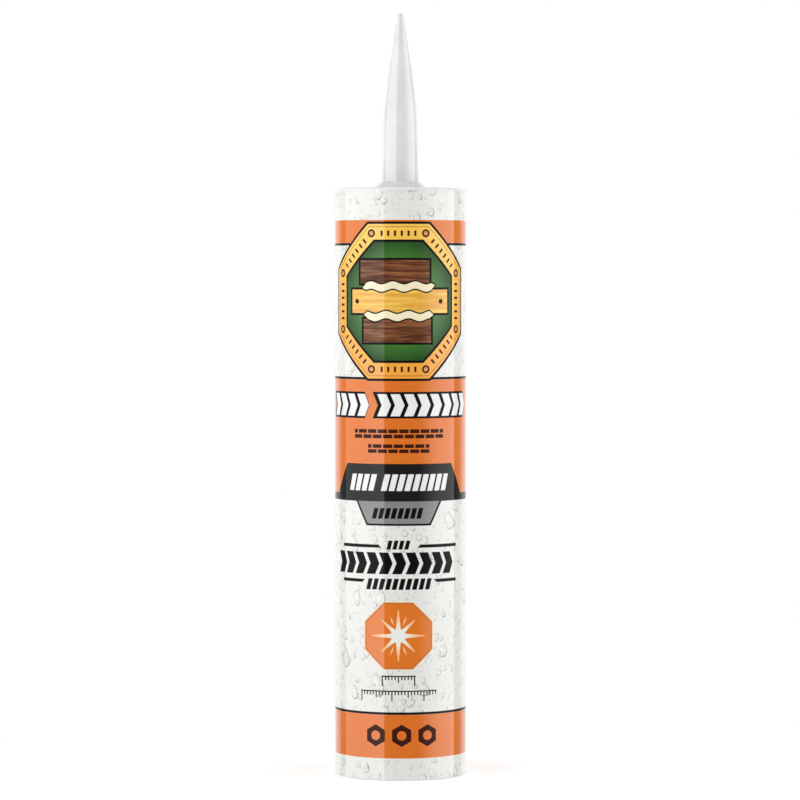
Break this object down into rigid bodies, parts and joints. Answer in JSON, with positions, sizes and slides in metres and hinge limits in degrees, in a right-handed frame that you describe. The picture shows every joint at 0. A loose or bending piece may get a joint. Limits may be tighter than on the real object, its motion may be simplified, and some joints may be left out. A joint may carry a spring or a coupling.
{
  "type": "construction adhesive cartridge",
  "caption": "Cylindrical plastic cartridge for a skeleton gun, with a printed film sleeve, long tapered screw-on nozzle, foil seal and sliding rear piston.",
  "frame": {"origin": "centre of the barrel's rear rim, on the surface that the cartridge stands on", "axes": "+Z along the barrel's axis, towards the nozzle's tip; -Y is the front of the label"},
  "size_m": [0.049, 0.049, 0.283],
  "materials": {
    "barrel_plastic": "moulded white polyethylene, satin",
    "printed_film": "gloss printed film in orange, white and black",
    "seal_foil": "rolled aluminium foil with a sealing lacquer",
    "piston_plastic": "moulded natural polyethylene",
    "adhesive_paste": "uncured white paste",
    "nozzle_plastic": "moulded white polyethylene, smooth"
  },
  "bodies": {
    "barrel": {"barrel": "barrel_plastic", "label": "printed_film", "neck_seal": "seal_foil", "adhesive": "adhesive_paste"},
    "piston": {"piston": "piston_plastic"},
    "nozzle": {"nozzle": "nozzle_plastic"}
  },
  "joints": [
    {"name": "piston_slide", "type": "slide", "parent": "barrel", "child": "piston", "axis": [0, 0, 1], "range_m": [0, 0.1608], "deforming": ["adhesive"]},
    {"name": "nozzle_lift", "type": "slide", "parent": "barrel", "child": "nozzle", "axis": [0, 0, 1], "range_m": [0, 0.03]}
  ]
}
